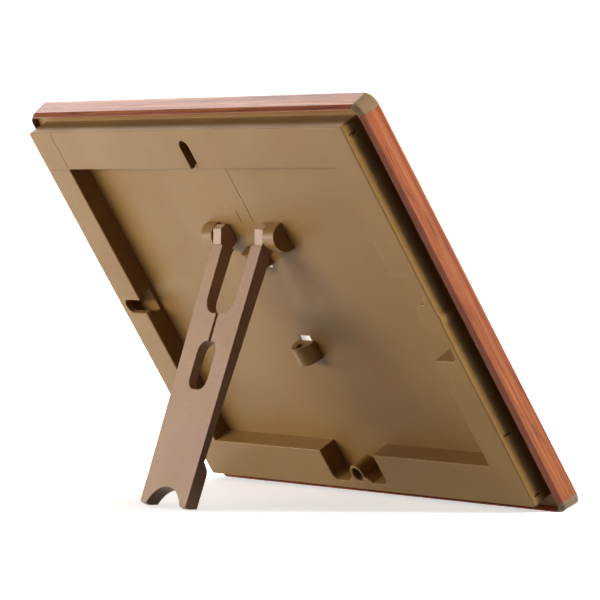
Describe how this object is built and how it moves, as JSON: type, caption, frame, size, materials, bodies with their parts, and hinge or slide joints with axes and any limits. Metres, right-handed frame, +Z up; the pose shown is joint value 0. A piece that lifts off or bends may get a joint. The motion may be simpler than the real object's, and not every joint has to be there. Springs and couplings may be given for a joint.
{
  "type": "photo frame",
  "caption": "Tabletop photo frame for a landscape 5 x 7 inch print: rails with corner caps, clear front, moulded back cover and a folding stand leg.",
  "frame": {"origin": "middle of the footprint, on the surface the frame stands on", "axes": "+Z up, the picture faces -Y and leans back towards +Y, +X to the viewer's right"},
  "size_m": [0.2148, 0.1014, 0.1419],
  "materials": {
    "cover_brown": "satin moulded",
    "leg_brown": "satin moulded",
    "rail_wood": "lacquered, grain along the rail",
    "cap_bronze": "satin bronze",
    "screw_steel": "zinc plated",
    "clear_glazing": "clear",
    "print_paper": "coated print",
    "white_card": "uncoated"
  },
  "bodies": {
    "frame": {"back_cover": "cover_brown", "rail_top": "rail_wood", "rail_bottom": "rail_wood", "rail_left": "rail_wood", "rail_right": "rail_wood", "corner_cap_top_left": "cap_bronze", "corner_cap_top_right": "cap_bronze", "corner_cap_bottom_left": "cap_bronze", "corner_cap_bottom_right": "cap_bronze", "cover_screw": "screw_steel", "glazing": "clear_glazing", "photo_print": "print_paper", "backing_card": "white_card"},
    "leg": {"stand_leg": "leg_brown"}
  },
  "joints": [
    {"name": "leg_hinge", "type": "hinge", "parent": "frame", "child": "leg", "pos_m": [-0.0008, 0.01607, 0.09213], "axis": [-1, 0, 0], "range_deg": [0, 51]}
  ]
}
